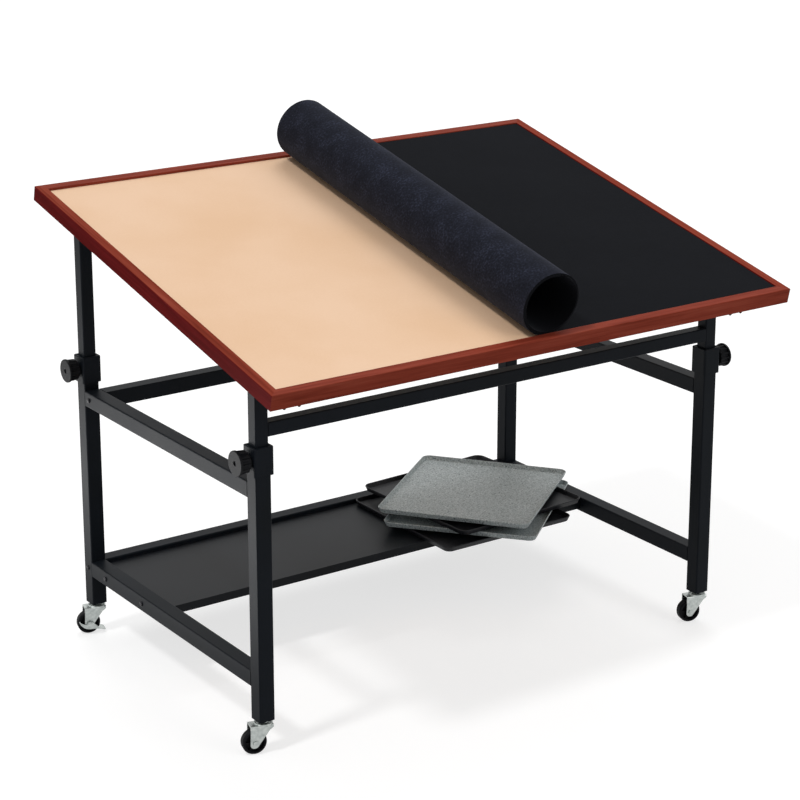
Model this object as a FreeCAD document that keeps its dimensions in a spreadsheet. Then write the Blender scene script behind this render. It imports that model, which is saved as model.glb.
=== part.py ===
"""Jigsaw puzzle table: a tilting board on a height-adjustable steel frame with casters.

Millimetres, +Z up. X runs along the long side and -Y is the near side, where the person
sits. The origin is on the floor, under the middle of the table's bounding box.
"""

import FreeCAD, Part
import math
import os
import re
import Sketcher

Vector = FreeCAD.Vector

doc = FreeCAD.newDocument("PuzzleTable")
sheet = doc.addObject("Spreadsheet::Sheet", "Sizes")

SIZES = [
    # outer frame, square steel tube
    ("leg_size", 30),
    ("tube_wall", 1.5),
    ("tube_corner", 2.5),
    ("leg_span", 985),            # between leg axes, left to right
    ("leg_reach", 614),           # between leg axes, near to far
    ("leg_base", 61),             # lower end of the legs above the floor
    ("leg_length", 483),
    ("lower_rail_top", 149),
    ("upper_rail_drop", 52.5),    # upper rails' top below the legs' upper ends
    # storage shelf
    ("shelf_thickness", 16),
    ("shelf_step", 9),            # shelf surface below the top of the lower rails
    ("shelf_depth", 253),
    ("shelf_bolt_margin", 56),    # bolts from the shelf's near and far edges
    # fasteners of the frame
    ("shelf_bolt_depth", 24),     # in the shelf's edge
    ("bolt_size", 6),
    ("bolt_head", 9.5),
    ("bolt_head_height", 3),
    ("plug_length", 24),          # threaded plug in each end of a long rail
    ("hole_play", 0.08),          # radial play of a bolt or pin in its hole
    # sliding inner tubes
    ("inner_size", 25),
    ("inner_length", 515),
    ("near_rail_drop", 81.5),     # rail's top below the near pivots
    # clamp collars on the leg tops
    ("collar_size", 38),
    ("collar_length", 50),
    ("collar_seat", 38),          # length of the collar round the leg
    ("collar_corner", 4),
    ("collar_edge", 1.5),         # rounding of the upper edge
    ("collar_funnel", 2.5),       # bevel round the collar's mouth
    ("slide_play", 0.25),         # each side, collar to tube
    # clamp knobs
    ("knob_diameter", 44),
    ("knob_length", 27),
    ("knob_rise", 26),            # knob's axis above the collar's lower end
    ("knob_hub", 24),
    ("knob_neck", 5),
    ("knob_cap", 4),              # smooth disc past the flutes
    ("knob_edge", 1.5),
    ("knob_recess", 9),           # round recess in the middle of the disc
    ("knob_recess_depth", 2),
    ("flute_count", 14),
    ("flute_radius", 3.4),
    ("stud_size", 8),
    ("end_play", 0.3),
    # tabletop
    ("side_overhang", 64),      # board's outer edge beyond the leg axes
    ("far_overhang", 85),      # far edge beyond the far pivots with the board level
    ("rim_height", 28),
    ("rim_width", 18.5),
    ("rim_rounding", 1.2),
    ("board_step", 5),            # board surface below the top of the rims
    ("board_thickness", 8),
    ("board_tongue", 6),          # board edge inside the rims' groove
    ("batten_width", 60),
    ("tilt", 12.5),               # degrees, far edge up
    # tilt channels under the board and their pivots
    ("pivot_rise", 133),          # near pivot axis above the outer legs' upper ends
    ("pivot_drop", 20),           # pivot axis below the underside of the rims
    ("pivot_setback", 144),     # pivot axis from the near edge, along the board
    ("channel_gap", 26),
    ("channel_wall", 2),
    ("channel_depth", 35),
    ("channel_inset", 45),        # channel ends from the near and far edges
    ("tube_above_pivot", 8),
    ("pivot_bolt", 6),
    ("slot_travel", 11),          # each way from the middle of the slot
    ("slot_shift", 4.05),         # middle of the slot, nearer than the rest place of its bolt
    ("slot_height", 9.5),
    ("pivot_head", 11),
    ("pivot_head_height", 4),
    ("screw_size", 4),
    ("screw_head", 8),
    ("screw_head_height", 1.5),
    ("screw_length", 12),
    # felt cover, half laid and half rolled up
    ("felt_thickness", 3),
    ("felt_margin", 1.5),
    ("roll_diameter", 120),
    ("roll_wall", 6),
    ("roll_offset", 5),           # roll axis to the right of the middle
    # casters
    ("wheel_diameter", 44),
    ("wheel_width", 17),
    ("wheel_rim", 5),
    ("wheel_web", 5),
    ("wheel_hub", 14),
    ("spoke_count", 6),
    ("spoke_width", 2.5),
    ("axle_size", 6),
    ("axle_head", 9),
    ("axle_head_height", 2.5),
    ("fork_wall", 2),
    ("fork_gap", 20),
    ("fork_end_radius", 9),
    ("fork_hood", 52),            # underside of the fork's hood above the floor
    ("cup_diameter", 33),
    ("cup_height", 4.5),
    ("race_diameter", 25),
    ("race_height", 3.8),
    ("kingpin_size", 8),
    ("rivet_head", 13),
    ("rivet_head_height", 2),
    ("stem_size", 10),
    ("stem_length", 34),
    ("stem_plug_length", 40),
    ("caster_trail", 17.5),
    ("caster_yaw", 15),           # degrees from straight along the table
    # brake pedals of the far casters
    ("pedal_wall", 1.5),
    ("pedal_play", 0.4),
    ("pedal_eye", 5.5),           # radius round the axle
    ("pedal_curve", 23.4),        # radius of the crescent's lower edge
    ("pedal_reach", 31),          # from the axle to the tread's tip
    ("pedal_drop", 15.2),         # tread's tip below the axle
    ("pedal_flange", 2),
    ("pedal_tread", 22),          # width of the tread across the wheel
    ("pedal_tip", 4),             # rounding of the tread's corners
    # sorting trays
    ("tray_width", 332),
    ("tray_depth", 312),
    ("tray_height", 11),
    ("tray_wall", 2.5),
    ("tray_corner", 18),
    ("tray_draft", 25),           # degrees, walls leaning outwards
    ("tray_fold", 2.2),           # rounding between base and walls
    ("tray_play", 0.3),           # between stacked trays
]

for row, (alias, amount) in enumerate(SIZES, start=1):
    sheet.set(f"A{row}", alias)
    sheet.set(f"B{row}", str(amount))
    sheet.setAlias(f"B{row}", alias)
doc.recompute()

SIDES = {"left": -1, "right": 1}
ENDS = {"near": -1, "far": 1}
nodes = []

LEG_TOP = "(leg_base + leg_length)"
COLLAR_BASE = f"({LEG_TOP} - collar_seat)"
KNOB_Z = f"({COLLAR_BASE} + knob_rise)"
NEAR_PIVOT_Z = f"({LEG_TOP} + pivot_rise)"
FAR_PIVOT_Z = f"({NEAR_PIVOT_Z} + leg_reach * tan(tilt))"
PIVOT_Z = {"near": NEAR_PIVOT_Z, "far": FAR_PIVOT_Z}
NEAR_EDGE = "-pivot_setback"
FAR_EDGE = "(leg_reach + far_overhang)"
HALF_TOP = "(leg_span / 2 + side_overhang)"
RAIL_TOP = {"lower": "lower_rail_top", "upper": f"({LEG_TOP} - upper_rail_drop)"}

# The tabletop overhangs more in front, so the middle of the legs lies behind the origin.
# The felt roll's upper edge reaches out nearest, the far rim's lower edge farthest.
NEAR_REACH = (
    "((pivot_setback - rim_width - felt_margin) * cos(tilt)"
    " + (pivot_drop + rim_height - board_step + roll_diameter) * sin(tilt))"
)
FAR_REACH = f"({FAR_EDGE} * cos(tilt) - pivot_drop * sin(tilt))"
FRAME_Y = f"(leg_reach + {NEAR_REACH} - {FAR_REACH}) / 2"


# ---------------------------------------------------------------- drawing helpers

def sized(words):
    """The expression with every size in it read from the sheet."""
    aliases = {alias for alias, _ in SIZES}
    return re.sub(r"[a-z_]+", lambda word: "Sizes." * (word[0] in aliases) + word[0], words)


def value(words):
    """The number that an expression gives."""
    return float(sheet.evalExpression(sized(words)))


def node(item, label):
    """Give a finished sub-part its name and list it for export."""
    item.Label = label
    nodes.append(item)
    return item


def place(item, x, y, z, axis=(0, 0, 1), angle="0"):
    """Bind an object's place, with y from the middle of the legs, and its turn to the sheet."""
    for name, expression in zip("xyz", (x, f"{FRAME_Y} + {y}", z)):
        item.setExpression(f"Placement.Base.{name}", sized(expression))
    for name, amount in zip("xyz", axis):
        item.setExpression(f"Placement.Rotation.Axis.{name}", str(amount))
    item.setExpression("Placement.Rotation.Angle", sized(angle))


def new_body(name):
    return doc.addObject("PartDesign::Body", name)


def sketch(body, role, offset="0"):
    """A sketch on one of the body's own origin planes, moved along the plane's normal."""
    profile = body.newObject("Sketcher::SketchObject", body.Name + "_sketch")
    plane = next(item for item in body.Origin.OriginFeatures if item.Role == role)
    profile.AttachmentSupport = [(plane, "")]
    profile.MapMode = "FlatFace"
    profile.setExpression("AttachmentOffset.Base.z", sized(offset))
    return profile


def fix_point(profile, curve, point, x, y):
    """Hold a point of a sketch at a place bound to the sheet."""
    for kind, axis, expression in (("DistanceX", -2, x), ("DistanceY", -1, y)):
        if expression == "0":
            profile.addConstraint(Sketcher.Constraint("PointOnObject", curve, point, axis))
            continue
        amount = value(expression)
        number = profile.addConstraint(Sketcher.Constraint(kind, -1, 1, curve, point, amount))
        profile.setExpression(f"Constraints[{number}]", sized(expression))


def polygon(profile, corners):
    """A closed run of straight lines through corners given as pairs of expressions."""
    places = [Vector(value(x), value(y), 0) for x, y in corners]
    first = profile.GeometryCount
    count = len(corners)
    for index in range(count):
        line = Part.LineSegment(places[index], places[(index + 1) % count])
        profile.addGeometry(line, False)
    for index in range(count):
        following = first + (index + 1) % count
        profile.addConstraint(Sketcher.Constraint("Coincident", first + index, 2, following, 1))
    for index, (x, y) in enumerate(corners):
        fix_point(profile, first + index, 1, x, y)


def rectangle(profile, left, right, low, high):
    polygon(profile, [(left, low), (right, low), (right, high), (left, high)])


def square(profile, size):
    """A square of the given side about the origin of the sketch."""
    half = f"({size}) / 2"
    rectangle(profile, f"-{half}", half, f"-{half}", half)


def circle(profile, radius, x="0", y="0"):
    centre = Vector(value(x), value(y), 0)
    number = profile.GeometryCount
    profile.addGeometry(Part.Circle(centre, Vector(0, 0, 1), value(radius)), False)
    bound = profile.addConstraint(Sketcher.Constraint("Radius", number, value(radius)))
    profile.setExpression(f"Constraints[{bound}]", sized(radius))
    fix_point(profile, number, 3, x, y)


def extrude(kind, body, profile, length, symmetric=True, back=False):
    """A pad or pocket of a sketch, by default half its length to each side."""
    feature = body.newObject(f"PartDesign::{kind}", f"{body.Name}_{kind}")
    feature.Profile = profile
    feature.setExpression("Length", sized(length))
    feature.SideType = "Symmetric" if symmetric else "One side"
    feature.Reversed = back
    profile.Visibility = False
    return feature


def pad(body, profile, length, symmetric=True, back=False):
    return extrude("Pad", body, profile, length, symmetric, back)


def pocket(body, profile, length, symmetric=True, back=False):
    return extrude("Pocket", body, profile, length, symmetric, back)


def revolve(body, profile):
    """A full turn of a sketch about its own vertical axis."""
    feature = body.newObject("PartDesign::Revolution", body.Name + "_revolution")
    feature.Profile = profile
    feature.ReferenceAxis = (profile, ["V_Axis"])
    feature.Angle = 360
    profile.Visibility = False


def turned(body, corners):
    """A solid of revolution about Z from a half profile of (radius, height) pairs."""
    profile = sketch(body, "XZ_Plane")
    polygon(profile, corners)
    revolve(body, profile)


def repeat_round(body, feature, role, count):
    """A polar pattern of one feature about an axis of the body."""
    pattern = body.newObject("PartDesign::PolarPattern", body.Name + "_pattern")
    axis = next(item for item in body.Origin.OriginFeatures if item.Role == role)
    pattern.Originals = [feature]
    pattern.Axis = (axis, [""])
    pattern.Angle = 360
    pattern.setExpression("Occurrences", sized(count))
    body.Tip = pattern
    return pattern


def fillet(body, radius, wanted, kind="Fillet", amount="Radius"):
    """Round the edges of the body's last feature that the test picks."""
    doc.recompute()
    base = body.Tip
    names = [
        f"Edge{number}"
        for number, edge in enumerate(base.Shape.Edges, start=1)
        if wanted(edge)
    ]
    feature = body.newObject(f"PartDesign::{kind}", f"{body.Name}_{kind}")
    feature.Base = (base, names)
    feature.setExpression(amount, sized(radius))
    return feature


def chamfer(body, size, wanted):
    """Bevel the edges of the body's last feature that the test picks."""
    return fillet(body, size, wanted, "Chamfer", "Size")


def along(axis):
    """A test for straight edges parallel to an axis."""
    direction = {"x": Vector(1, 0, 0), "y": Vector(0, 1, 0), "z": Vector(0, 0, 1)}[axis]

    def test(edge):
        if not isinstance(edge.Curve, Part.Line):
            return False
        return edge.tangentAt(edge.FirstParameter).cross(direction).Length < 1e-6

    return test


def at_height(height, also=lambda edge: True):
    """A test for edges that lie wholly at one height in the body's own frame."""

    def test(edge):
        box = edge.BoundBox
        level = abs(box.ZMin - height) < 1e-4 and abs(box.ZMax - height) < 1e-4
        return level and also(edge)

    return test


def group(label, items):
    """Like pieces that share one node."""
    bundle = doc.addObject("Part::Compound", label)
    bundle.Links = items
    return node(bundle, label)


def screw(name, shank, length, head, height):
    """A screw or bolt with a domed head: the head above Z = 0, the shank below."""
    body = new_body(name)
    turned(body, [
        ("0", f"-({length})"),
        (f"({shank}) / 2", f"-({length})"),
        (f"({shank}) / 2", "0"),
        (f"({head}) / 2", "0"),
        (f"({head}) / 2", f"({height}) * 0.35"),
        (f"({head}) * 0.43", f"({height}) * 0.7"),
        (f"({head}) * 0.28", f"({height}) * 0.92"),
        ("0", f"({height})"),
    ])
    return body


# ---------------------------------------------------------------- outer frame

RAIL_PLANES = {"x": "YZ_Plane", "y": "XZ_Plane", "z": "XY_Plane"}


def corners_at(axis, half):
    """A test for the four edges of a square section of the given half size."""
    across = [name for name in "xyz" if name != axis]

    def test(edge):
        middle = edge.BoundBox.Center
        return along(axis)(edge) and all(
            abs(abs(getattr(middle, name)) - half) < 1e-4 for name in across
        )

    return test


def tube(label, size, length, axis):
    """Square tube about an axis of its own frame, with rounded corners."""
    body = new_body(label)
    profile = sketch(body, RAIL_PLANES[axis])
    square(profile, size)
    square(profile, f"{size} - 2 * tube_wall")
    pad(body, profile, length)
    fillet(body, "tube_corner", corners_at(axis, value(f"{size} / 2")))
    fillet(body, "tube_corner - tube_wall", corners_at(axis, value(f"{size} / 2 - tube_wall")))
    return node(body, label)


def plug(name, plane, length, bore, symmetric=True, offset="0"):
    """Square plug that fills a tube end, with a hole along its middle."""
    body = new_body(name)
    profile = sketch(body, plane, offset)
    square(profile, "leg_size - 2 * tube_wall")
    pad(body, profile, length, symmetric)
    axis = "x" if plane == "YZ_Plane" else "z"
    fillet(body, "tube_corner - tube_wall", corners_at(axis, value("leg_size / 2 - tube_wall")))
    hole = sketch(body, plane, offset)
    circle(hole, f"({bore}) / 2")
    pocket(body, hole, length, symmetric, back=not symmetric)
    return body


def cross_hole(body, radius, y, z, length, offset="0"):
    """A round hole along X, half its length to each side of the offset."""
    profile = sketch(body, "YZ_Plane", offset)
    circle(profile, radius, y, z)
    pocket(body, profile, length)


def outer_leg(side, end):
    """Upright with a hole for the clamp stud and, at the far end, one for the rail bolt."""
    label = f"outer_leg_{end}_{side}"
    body = tube(label, "leg_size", "leg_length", "z")
    middle = "(leg_base + leg_length / 2)"
    outwards = SIDES[side]
    cross_hole(body, "stud_size / 2 + hole_play", "0", f"{KNOB_Z} - {middle}", "leg_size",
               f"{outwards} * leg_size / 2")
    if end == "far":
        cross_hole(body, "bolt_size / 2 + hole_play", "0", f"lower_rail_top - leg_size / 2 - {middle}",
                   "2 * leg_size")
    place(body, f"{outwards} * leg_span / 2", f"{ENDS[end]} * leg_reach / 2", middle)


def side_rail(level, side):
    """Rail from the near to the far leg, welded flush between them."""
    label = f"side_rail_{level}_{side}"
    body = tube(label, "leg_size", "leg_reach - leg_size", "y")
    if level == "upper":
        cross_hole(body, "bolt_size / 2 + hole_play", UPPER_LONG_RAIL_Y, "0", "2 * leg_size")
    else:
        for y in SHELF_BOLT_PLACES:
            cross_hole(body, "bolt_size / 2 + hole_play", y, "0", "2 * leg_size")
    place(body, f"{SIDES[side]} * leg_span / 2", "0", f"{RAIL_TOP[level]} - leg_size / 2")


UPPER_LONG_RAIL_Y = "leg_reach / 2 - leg_size"
LOWER_LONG_RAIL_Y = "leg_reach / 2"
SHELF_FAR_EDGE = "leg_reach / 2 - leg_size / 2"
SHELF_BOLT_PLACES = [
    f"{SHELF_FAR_EDGE} - shelf_depth + shelf_bolt_margin",
    f"{SHELF_FAR_EDGE} - shelf_bolt_margin",
]
LONG_RAILS = {"upper": UPPER_LONG_RAIL_Y, "lower": LOWER_LONG_RAIL_Y}


def long_rail(level):
    """Far rail from side to side, bolted through its end plugs."""
    body = tube(f"long_rail_{level}", "leg_size", "leg_span - leg_size", "x")
    place(body, "0", LONG_RAILS[level], f"{RAIL_TOP[level]} - leg_size / 2")


def rail_plugs():
    """Threaded square plugs pressed into the ends of the two long rails."""
    plugs = []
    for level, y in LONG_RAILS.items():
        for side, outwards in SIDES.items():
            body = plug(f"rail_plug_{level}_{side}", "YZ_Plane", "plug_length", "bolt_size")
            place(body, f"{outwards} * (leg_span / 2 - leg_size / 2 - plug_length / 2)", y,
                  f"{RAIL_TOP[level]} - leg_size / 2")
            plugs.append(body)
    group("rail_plugs", plugs)


def frame_bolt(name, side, reach, y, z):
    """Round-headed bolt put through a tube from outside."""
    outwards = SIDES[side]
    body = screw(name, "bolt_size", reach, "bolt_head", "bolt_head_height")
    place(body, f"{outwards} * (leg_span / 2 + leg_size / 2)", y, z, (0, 1, 0), f"{outwards} * 90")
    return body


def shelf():
    """Storage shelf between the lower side rails, against the far rail, with bolt holes."""
    body = new_body("shelf_panel")
    profile = sketch(body, "XY_Plane")
    rectangle(profile, "-(leg_span - leg_size) / 2", "(leg_span - leg_size) / 2",
              f"{SHELF_FAR_EDGE} - shelf_depth", SHELF_FAR_EDGE)
    pad(body, profile, "shelf_thickness")
    for y in SHELF_BOLT_PLACES:
        for outwards in SIDES.values():
            cross_hole(body, "bolt_size / 2", y,
                       "shelf_thickness / 2 + shelf_step - leg_size / 2",
                       "2 * (shelf_bolt_depth + 2)", f"{outwards} * (leg_span - leg_size) / 2")
    place(body, "0", "0", "lower_rail_top - shelf_step - shelf_thickness / 2")
    node(body, "shelf_panel")


def frame_bolts():
    """Bolts through the side rails and far legs into the long rails' plugs and the shelf."""
    bolts = []
    for side in SIDES:
        for level, y in LONG_RAILS.items():
            bolts.append(frame_bolt(f"rail_bolt_{level}_{side}", side, "leg_size + plug_length - 2",
                                    y, f"{RAIL_TOP[level]} - leg_size / 2"))
        for number, y in enumerate(SHELF_BOLT_PLACES):
            bolts.append(frame_bolt(f"shelf_bolt_{number}_{side}", side,
                                    "leg_size + shelf_bolt_depth", y,
                                    "lower_rail_top - leg_size / 2"))
    group("frame_bolts", bolts)


def collar(side, end):
    """Moulded collar over the leg top, closed in round the inner tube, with a stud hole."""
    label = f"collar_{end}_{side}"
    body = new_body(label)
    profile = sketch(body, "XY_Plane")
    square(profile, "collar_size")
    pad(body, profile, "collar_length", symmetric=False)
    fillet(body, "collar_corner", along("z"))
    fillet(body, "collar_edge", at_height(value("collar_length")))
    socket = sketch(body, "XY_Plane")
    square(socket, "leg_size + 2 * hole_play")
    pocket(body, socket, "collar_seat", symmetric=False, back=True)
    mouth = sketch(body, "XY_Plane")
    square(mouth, "inner_size + 2 * slide_play")
    pocket(body, mouth, "collar_length + 1", symmetric=False, back=True)
    bore = value("inner_size / 2 + slide_play")
    chamfer(body, "collar_funnel", lambda edge: at_height(value("collar_length"))(edge)
            and max(abs(edge.BoundBox.Center.x), abs(edge.BoundBox.Center.y)) < bore + 1e-3)
    outwards = SIDES[side]
    cross_hole(body, "stud_size / 2 + hole_play", "0", "knob_rise", "leg_size / 2",
               f"{outwards} * collar_size / 2")
    place(body, f"{outwards} * leg_span / 2", f"{ENDS[end]} * leg_reach / 2", COLLAR_BASE)
    node(body, label)


# ---------------------------------------------------------------- inner tubes and pivots

def inner_leg(side, end):
    """Sliding upright whose top carries the pivot bolt."""
    label = f"inner_leg_{end}_{side}"
    body = tube(label, "inner_size", "inner_length", "z")
    cross_hole(body, "pivot_bolt / 2", "0", "inner_length / 2 - tube_above_pivot", "2 * inner_size")
    place(body, f"{SIDES[side]} * leg_span / 2", f"{ENDS[end]} * leg_reach / 2",
          f"{PIVOT_Z[end]} + tube_above_pivot - inner_length / 2")


def near_long_rail():
    """Rail that joins the two near inner tubes."""
    body = tube("inner_long_rail_near", "inner_size", "leg_span - inner_size", "x")
    place(body, "0", "-leg_reach / 2", f"{NEAR_PIVOT_Z} - near_rail_drop - inner_size / 2")


def pivot_bolt(end, side):
    """Bolt, head and lock nut through a channel and the top of an inner tube."""
    body = new_body(f"pivot_bolt_{end}_{side}")
    face = "(channel_gap / 2 + channel_wall + end_play)"
    nut = "pivot_head / 2"
    bolt = "pivot_bolt / 2"
    turned(body, [
        ("0", f"-{face} - pivot_head_height"),
        (f"{nut} - 1", f"-{face} - pivot_head_height"),
        (nut, f"-{face} - pivot_head_height + 1"),
        (nut, f"-{face}"),
        (bolt, f"-{face}"),
        (bolt, face),
        (nut, face),
        (nut, f"{face} + pivot_head_height * 0.4"),
        (f"{nut} * 0.8", f"{face} + pivot_head_height * 0.8"),
        ("0", f"{face} + pivot_head_height"),
    ])
    outwards = SIDES[side]
    place(body, f"{outwards} * leg_span / 2", f"{ENDS[end]} * leg_reach / 2", PIVOT_Z[end],
          (0, 1, 0), f"{outwards} * 90")
    return body


def pivot_bolts():
    group("pivot_bolts_near", [pivot_bolt("near", side) for side in SIDES])
    for side in SIDES:
        node(pivot_bolt("far", side), f"pivot_bolt_far_{side}")


# ---------------------------------------------------------------- tabletop
# Each piece is drawn with the near pivot axis as its X axis and the board level,
# and is then tilted about that axis.

UNDERSIDE = "pivot_drop"
BOARD_TOP = "(pivot_drop + rim_height - board_step)"
BOARD_BOTTOM = "(pivot_drop + rim_height - board_step - board_thickness)"


def tilted(item):
    place(item, "0", "-leg_reach / 2", NEAR_PIVOT_Z, (1, 0, 0), "tilt")


def rim(label, corners, groove_plane, groove_length, edge_axis, groove):
    """Wooden rim: a mitred bar with a groove for the board's edge."""
    body = new_body(label)
    outline = sketch(body, "XY_Plane", UNDERSIDE)
    polygon(outline, corners)
    pad(body, outline, "rim_height", symmetric=False)
    slot = sketch(body, groove_plane)
    rectangle(slot, *groove, BOARD_BOTTOM, BOARD_TOP)
    pocket(body, slot, groove_length)
    top = value("pivot_drop + rim_height")

    def upper_edge(edge):
        return along(edge_axis)(edge) and at_height(top)(edge)

    fillet(body, "rim_rounding", upper_edge)
    tilted(body)
    node(body, label)


def rims():
    inner_left = f"-{HALF_TOP} + rim_width"
    inner_right = f"{HALF_TOP} - rim_width"
    inner_near = f"{NEAR_EDGE} + rim_width"
    inner_far = f"{FAR_EDGE} - rim_width"
    rim("rim_near",
        [(f"-{HALF_TOP}", NEAR_EDGE), (HALF_TOP, NEAR_EDGE),
         (inner_right, inner_near), (inner_left, inner_near)],
        "YZ_Plane", f"4 * {HALF_TOP}", "x", (f"{inner_near} - board_tongue", f"{inner_near} + 1"))
    rim("rim_far",
        [(f"-{HALF_TOP}", FAR_EDGE), (inner_left, inner_far),
         (inner_right, inner_far), (HALF_TOP, FAR_EDGE)],
        "YZ_Plane", f"4 * {HALF_TOP}", "x", (f"{inner_far} - 1", f"{inner_far} + board_tongue"))
    rim("rim_left",
        [(f"-{HALF_TOP}", NEAR_EDGE), (inner_left, inner_near),
         (inner_left, inner_far), (f"-{HALF_TOP}", FAR_EDGE)],
        "XZ_Plane", f"4 * {FAR_EDGE}", "y", (f"{inner_left} - board_tongue", f"{inner_left} + 1"))
    rim("rim_right",
        [(HALF_TOP, NEAR_EDGE), (HALF_TOP, FAR_EDGE),
         (inner_right, inner_far), (inner_right, inner_near)],
        "XZ_Plane", f"4 * {FAR_EDGE}", "y", (f"{inner_right} - 1", f"{inner_right} + board_tongue"))


def board():
    """Fibreboard panel with its edges in the rims' groove."""
    body = new_body("board_panel")
    profile = sketch(body, "XY_Plane", BOARD_BOTTOM)
    edge = f"({HALF_TOP} - rim_width + board_tongue)"
    rectangle(profile, f"-{edge}", edge, f"{NEAR_EDGE} + rim_width - board_tongue",
              f"{FAR_EDGE} - rim_width + board_tongue")
    pad(body, profile, "board_thickness", symmetric=False)
    tilted(body)
    node(body, "board_panel")


def batten(side):
    """Wooden batten under the board that a channel is screwed to."""
    label = f"under_batten_{side}"
    x = f"{SIDES[side]} * leg_span / 2"
    body = new_body(label)
    profile = sketch(body, "XY_Plane", UNDERSIDE)
    rectangle(profile, f"{x} - batten_width / 2", f"{x} + batten_width / 2",
              f"{NEAR_EDGE} + rim_width", f"{FAR_EDGE} - rim_width")
    pad(body, profile, "rim_height - board_step - board_thickness", symmetric=False)
    for y in SCREW_PLACES:
        hole = sketch(body, "XY_Plane", UNDERSIDE)
        circle(hole, "screw_size / 2", x, y)
        pocket(body, hole, "screw_length - channel_wall", symmetric=False, back=True)
    tilted(body)
    node(body, label)


CHANNEL_START = f"({NEAR_EDGE} + channel_inset)"
CHANNEL_END = f"({FAR_EDGE} - channel_inset)"
SCREW_PLACES = [
    f"{CHANNEL_START} + 30",
    f"({CHANNEL_START} + {CHANNEL_END}) / 2",
    f"{CHANNEL_END} - 30",
]
SLOT_MIDDLE = "(leg_reach / cos(tilt) - slot_shift)"


def channel(side):
    """Steel U-channel over the inner tubes, with a pivot hole and a sliding slot."""
    label = f"tilt_channel_{side}"
    x = f"{SIDES[side]} * leg_span / 2"
    outer = "(channel_gap / 2 + channel_wall)"
    inner = "(channel_gap / 2)"
    body = new_body(label)
    section = sketch(body, "YZ_Plane", x)
    rectangle(section, CHANNEL_START, CHANNEL_END, f"{UNDERSIDE} - channel_depth", UNDERSIDE)
    pad(body, section, f"2 * {outer}")
    fillet(body, "channel_wall * 5", lambda edge: along("x")(edge)
           and edge.BoundBox.ZMax < value("pivot_drop - channel_depth / 2"))
    fillet(body, "channel_wall", lambda edge: along("y")(edge)
           and edge.BoundBox.ZMin > value("pivot_drop - channel_depth / 2"))
    trough = sketch(body, "XZ_Plane")
    rectangle(trough, f"{x} - {inner}", f"{x} + {inner}", f"{UNDERSIDE} - 2 * channel_depth",
              f"{UNDERSIDE} - channel_wall")
    pocket(body, trough, f"4 * {FAR_EDGE}")
    pivot = sketch(body, "YZ_Plane", x)
    circle(pivot, "pivot_bolt / 2 + hole_play")
    pocket(body, pivot, "2 * channel_gap")
    slot = sketch(body, "YZ_Plane", x)
    long_slot(slot, f"{SLOT_MIDDLE} - slot_travel", f"{SLOT_MIDDLE} + slot_travel", "slot_height")
    pocket(body, slot, "2 * channel_gap")
    for y in SCREW_PLACES:
        hole = sketch(body, "XY_Plane", UNDERSIDE)
        circle(hole, "screw_size / 2 + hole_play", x, y)
        pocket(body, hole, "2 * channel_wall + 2")
    tilted(body)
    node(body, label)


def curved_outline(profile, runs):
    """A closed outline of straight runs, given by their ends, joined by tangent quarter or
    half arcs, each given by the place of its middle along X."""
    count = len(runs)
    ends = [[(value(x), value(y)) for x, y in run[:2]] for run in runs]
    for index, (start, finish) in enumerate(ends):
        profile.addGeometry(Part.LineSegment(Vector(*start, 0), Vector(*finish, 0)), False)
        following = ends[(index + 1) % count][0]
        middle_x = value(runs[index][2])
        along_x = abs(start[1] - finish[1]) < 1e-9
        half_turn = abs(finish[0] - following[0]) < 1e-9
        middle_y = (finish[1] + following[1]) / 2 if half_turn else (
            following[1] if along_x else finish[1]
        )
        middle = Vector(middle_x, middle_y, 0)
        radius = (Vector(*finish, 0) - middle).Length
        first = math.atan2(finish[1] - middle_y, finish[0] - middle_x)
        turn = math.pi if half_turn else math.pi / 2
        arc = Part.ArcOfCircle(Part.Circle(middle, Vector(0, 0, 1), radius), first, first + turn)
        profile.addGeometry(arc, False)
    for index in range(2 * count):
        following = (index + 1) % (2 * count)
        profile.addConstraint(Sketcher.Constraint("Coincident", index, 2, following, 1))
    for index, (start, finish, middle) in enumerate(runs):
        fix_point(profile, 2 * index, 1, *start)
        fix_point(profile, 2 * index, 2, *finish)
        number = profile.addConstraint(
            Sketcher.Constraint("DistanceX", -1, 1, 2 * index + 1, 3, value(middle))
        )
        profile.setExpression(f"Constraints[{number}]", sized(middle))


def long_slot(profile, start, finish, height):
    """A slot with round ends along the sketch's horizontal axis."""
    half = f"({height}) / 2"
    curved_outline(profile, [
        ((start, f"-{half}"), (finish, f"-{half}"), finish),
        ((finish, half), (start, half), start),
    ])


def rounded_rectangle(profile, width, depth, radius):
    """A rectangle about the sketch's origin with rounded corners."""
    x = f"(({width}) / 2)"
    y = f"(({depth}) / 2)"
    inner_x = f"({x} - ({radius}))"
    inner_y = f"({y} - ({radius}))"
    curved_outline(profile, [
        ((f"-{inner_x}", f"-{y}"), (inner_x, f"-{y}"), inner_x),
        ((x, f"-{inner_y}"), (x, inner_y), inner_x),
        ((inner_x, y), (f"-{inner_x}", y), f"-{inner_x}"),
        ((f"-{x}", inner_y), (f"-{x}", f"-{inner_y}"), f"-{inner_x}"),
    ])


def channel_screws():
    """Pan-head wood screws that hold the channels to the battens."""
    screws = []
    for side, outwards in SIDES.items():
        for number, y in enumerate(SCREW_PLACES):
            body = new_body(f"channel_screw_{side}_{number}")
            x = f"{outwards} * leg_span / 2"
            head = sketch(body, "XY_Plane", f"{UNDERSIDE} - channel_wall")
            circle(head, "screw_head / 2", x, y)
            pad(body, head, "screw_head_height", symmetric=False, back=True)
            shank = sketch(body, "XY_Plane", f"{UNDERSIDE} - channel_wall")
            circle(shank, "screw_size / 2", x, y)
            pad(body, shank, "screw_length - 1", symmetric=False)
            tilted(body)
            screws.append(body)
    group("channel_screws", screws)


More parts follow.
